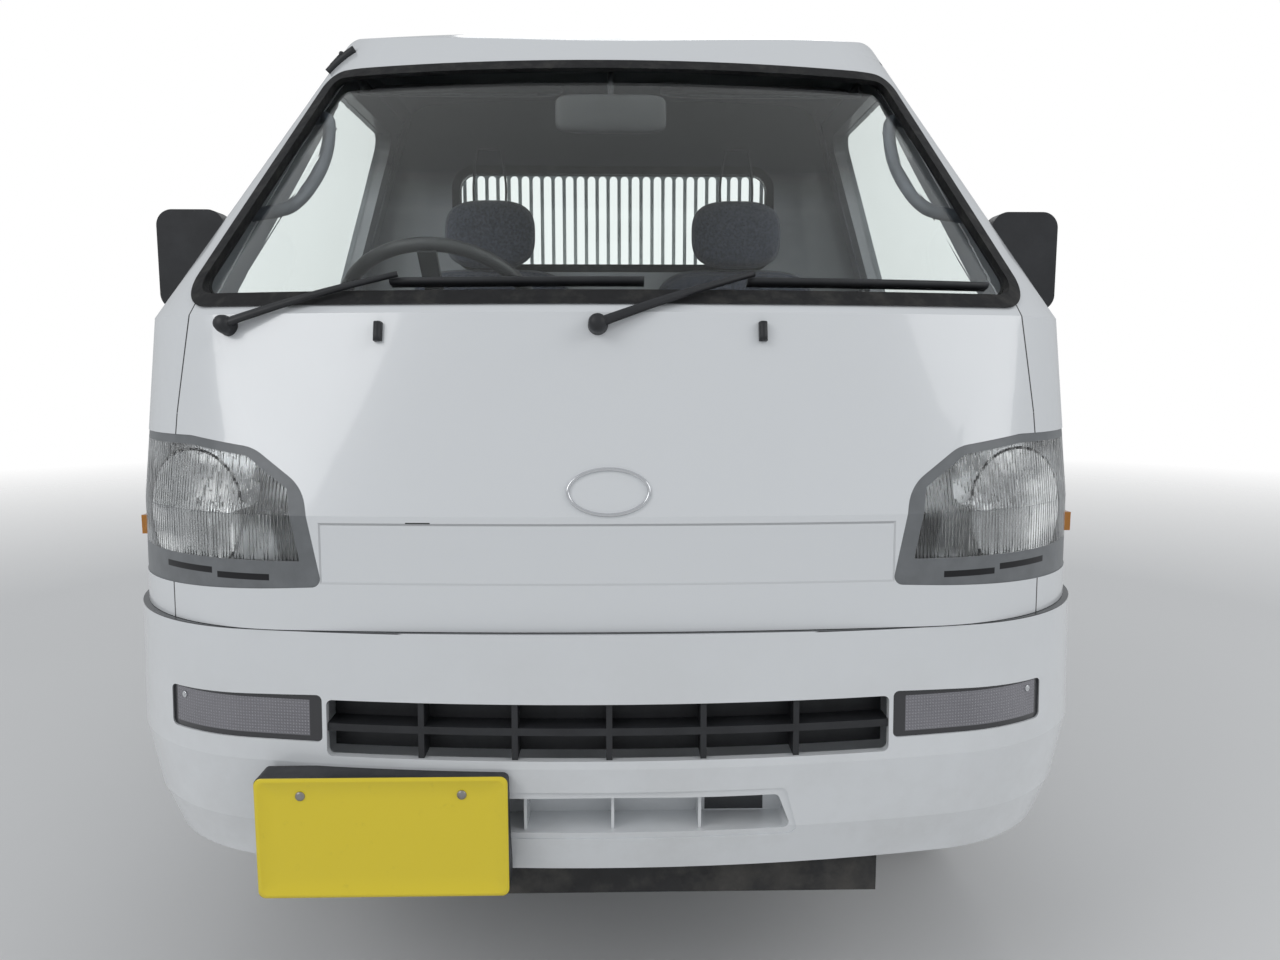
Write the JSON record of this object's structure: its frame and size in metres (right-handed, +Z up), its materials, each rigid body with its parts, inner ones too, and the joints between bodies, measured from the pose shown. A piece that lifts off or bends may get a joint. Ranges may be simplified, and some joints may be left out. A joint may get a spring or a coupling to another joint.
{
  "type": "kei truck",
  "caption": "Small cab-over pickup truck with a flat bed, three drop gates, two doors, a rear window guard and steered front wheels.",
  "frame": {"origin": "on the ground under the middle of the bounding box", "axes": "+Z up, -Y to the front of the vehicle, +X to its left"},
  "size_m": [1.7, 3.395, 1.78],
  "materials": {
    "white_paint": "gloss",
    "white_plastic": "gloss",
    "black_plastic": "matte",
    "black_rubber": "matte",
    "clear_glass": "gloss",
    "lamp_glass": "gloss",
    "lamp_body": "gloss",
    "amber_lens": "gloss",
    "red_lens": "gloss",
    "chassis_paint": "satin",
    "cast_metal": "matte",
    "bare_steel": "satin",
    "wheel_paint": "satin",
    "tyre_rubber": "matte",
    "dash_plastic": "matte",
    "seat_cloth": "matte"
  },
  "bodies": {
    "root": {"ladder_frame": "chassis_paint", "engine_block": "cast_metal", "fuel_tank": "chassis_paint", "exhaust": "bare_steel", "propeller_shaft": "chassis_paint", "rear_axle": "chassis_paint", "leaf_springs": "chassis_paint", "front_suspension": "chassis_paint", "cab_floor": "white_paint", "cab_side_left": "white_paint", "cab_side_right": "white_paint", "cab_front_panel": "white_paint", "cab_back_panel": "white_paint", "roof_panel": "white_paint", "windscreen": "clear_glass", "windscreen_seal": "black_rubber", "rear_window": "clear_glass", "rear_window_seal": "black_rubber", "bumper": "white_plastic", "bumper_grille": "black_plastic", "turn_lamps": "lamp_glass", "headlamps": "lamp_body", "headlamp_lenses": "lamp_glass", "side_repeaters": "amber_lens", "front_plate_carrier": "black_plastic", "dashboard": "dash_plastic", "steering_column": "dash_plastic", "driver_seat": "seat_cloth", "passenger_seat": "seat_cloth", "bed_deck": "white_paint", "bed_headboard": "white_paint", "guard_grille": "white_paint", "rear_lamps": "red_lens", "rear_bumper": "chassis_paint", "mudguards": "black_rubber"},
    "steering_wheel": {"steering_wheel": "black_plastic"},
    "knuckle_left": {"knuckle_left": "cast_metal"},
    "knuckle_right": {"knuckle_right": "cast_metal"},
    "door_left": {"door_left": "white_paint", "door_glass_left": "clear_glass", "door_mirror_left": "black_plastic"},
    "door_right": {"door_right": "white_paint", "door_glass_right": "clear_glass", "door_mirror_right": "black_plastic"},
    "side_gate_left": {"side_gate_left": "white_paint"},
    "side_gate_right": {"side_gate_right": "white_paint"},
    "tail_gate": {"tail_gate": "white_paint"},
    "wheel_front_left": {"rim_front_left": "wheel_paint", "tyre_front_left": "tyre_rubber"},
    "wheel_front_right": {"rim_front_right": "wheel_paint", "tyre_front_right": "tyre_rubber"},
    "wheel_rear_left": {"rim_rear_left": "wheel_paint", "tyre_rear_left": "tyre_rubber"},
    "wheel_rear_right": {"rim_rear_right": "wheel_paint", "tyre_rear_right": "tyre_rubber"}
  },
  "joints": [
    {"name": "steering", "type": "hinge", "parent": "root", "child": "steering_wheel", "pos_m": [-0.33, -0.9975, 1.13], "axis": [0, 0.7071, 0.7071], "range_deg": [-540, 540]},
    {"name": "steer_left", "type": "hinge", "parent": "root", "child": "knuckle_left", "pos_m": [0.6, -0.7725, 0.18], "axis": [-0.1736, 0, 0.9848], "range_deg": [-36, 36]},
    {"name": "steer_right", "type": "hinge", "parent": "root", "child": "knuckle_right", "pos_m": [-0.6, -0.7725, 0.18], "axis": [0.1736, 0, 0.9848], "range_deg": [-36, 36]},
    {"name": "spin_front_left", "type": "hinge", "parent": "knuckle_left", "child": "wheel_front_left", "pos_m": [0.6525, -0.7725, 0.271], "axis": [1, 0, 0], "continuous": true},
    {"name": "spin_front_right", "type": "hinge", "parent": "knuckle_right", "child": "wheel_front_right", "pos_m": [-0.6525, -0.7725, 0.271], "axis": [1, 0, 0], "continuous": true},
    {"name": "spin_rear_left", "type": "hinge", "parent": "root", "child": "wheel_rear_left", "pos_m": [0.65, 1.1275, 0.271], "axis": [1, 0, 0], "continuous": true},
    {"name": "spin_rear_right", "type": "hinge", "parent": "root", "child": "wheel_rear_right", "pos_m": [-0.65, 1.1275, 0.271], "axis": [1, 0, 0], "continuous": true},
    {"name": "door_left", "type": "hinge", "parent": "root", "child": "door_left", "pos_m": [0.735, -1.2925, 0.8], "axis": [0, 0, -1], "range_deg": [0, 65]},
    {"name": "door_right", "type": "hinge", "parent": "root", "child": "door_right", "pos_m": [-0.735, -1.2925, 0.8], "axis": [0, 0, 1], "range_deg": [0, 65]},
    {"name": "side_gate_left", "type": "hinge", "parent": "root", "child": "side_gate_left", "pos_m": [0.73, 0.7025, 0.628], "axis": [0, 1, 0], "range_deg": [0, 180]},
    {"name": "side_gate_right", "type": "hinge", "parent": "root", "child": "side_gate_right", "pos_m": [-0.73, 0.7025, 0.628], "axis": [0, -1, 0], "range_deg": [0, 180]},
    {"name": "tail_gate", "type": "hinge", "parent": "root", "child": "tail_gate", "pos_m": [0, 1.6895, 0.628], "axis": [-1, 0, 0], "range_deg": [0, 180]}
  ],
  "couplings": [
    {"joint": "steer_left", "follows": "steering", "ratio": 0.0666},
    {"joint": "steer_right", "follows": "steering", "ratio": 0.0666}
  ]
}
